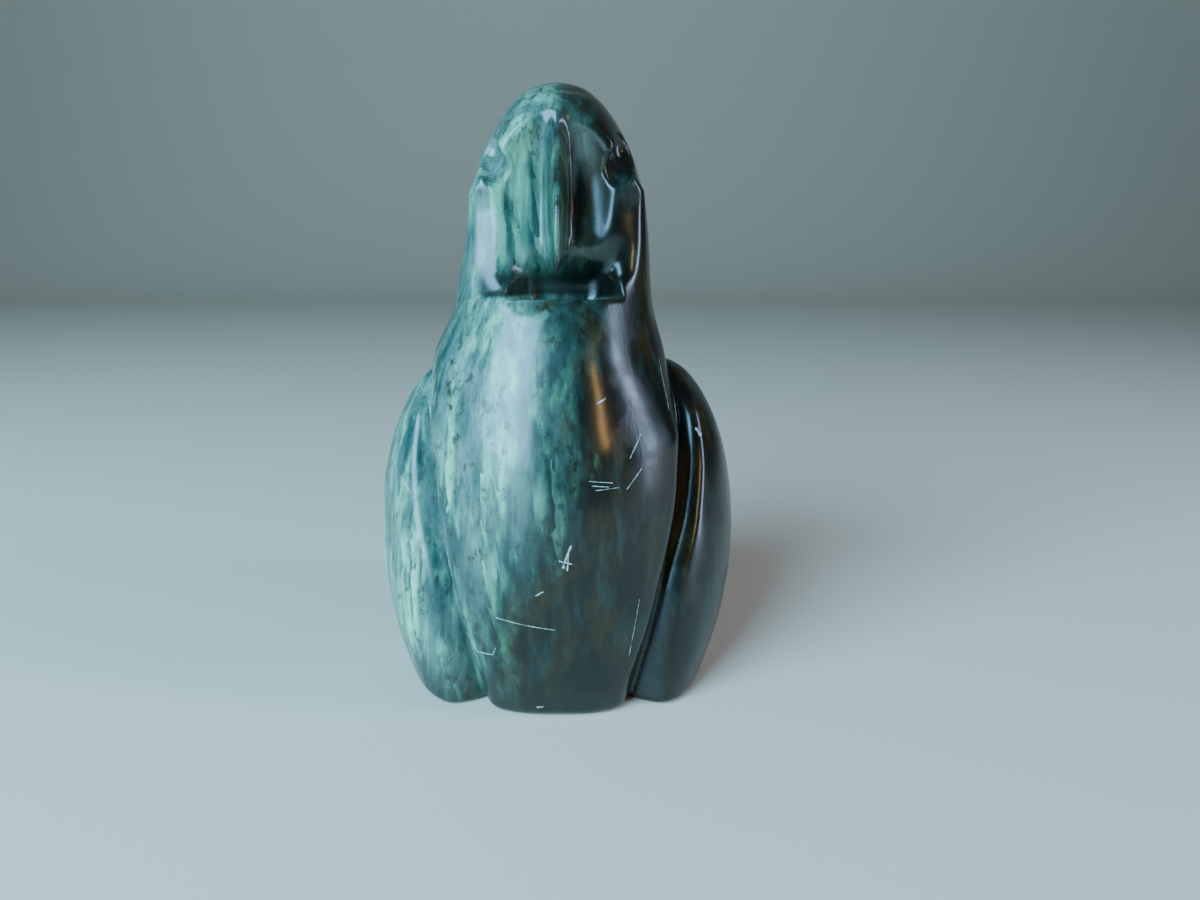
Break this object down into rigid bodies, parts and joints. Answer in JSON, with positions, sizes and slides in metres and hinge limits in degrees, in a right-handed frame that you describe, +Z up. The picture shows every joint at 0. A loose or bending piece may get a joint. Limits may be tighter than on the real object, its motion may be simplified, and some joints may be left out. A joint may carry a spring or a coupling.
{
  "type": "carved stone bird figure",
  "caption": "Polished green soapstone bird of prey with folded wings, carved in one piece, standing upright on a flat underside.",
  "frame": {"origin": "under the middle of the bird, on the surface it stands on", "axes": "+Z up the bird, -Y out of its breast and beak, +X towards its left wing"},
  "size_m": [0.0708, 0.0668, 0.1105],
  "materials": {
    "soapstone": "waxed and polished green soapstone, dark green with translucent mint bands running up it"
  },
  "bodies": {
    "root": {"bird_carving": "soapstone"}
  },
  "joints": []
}
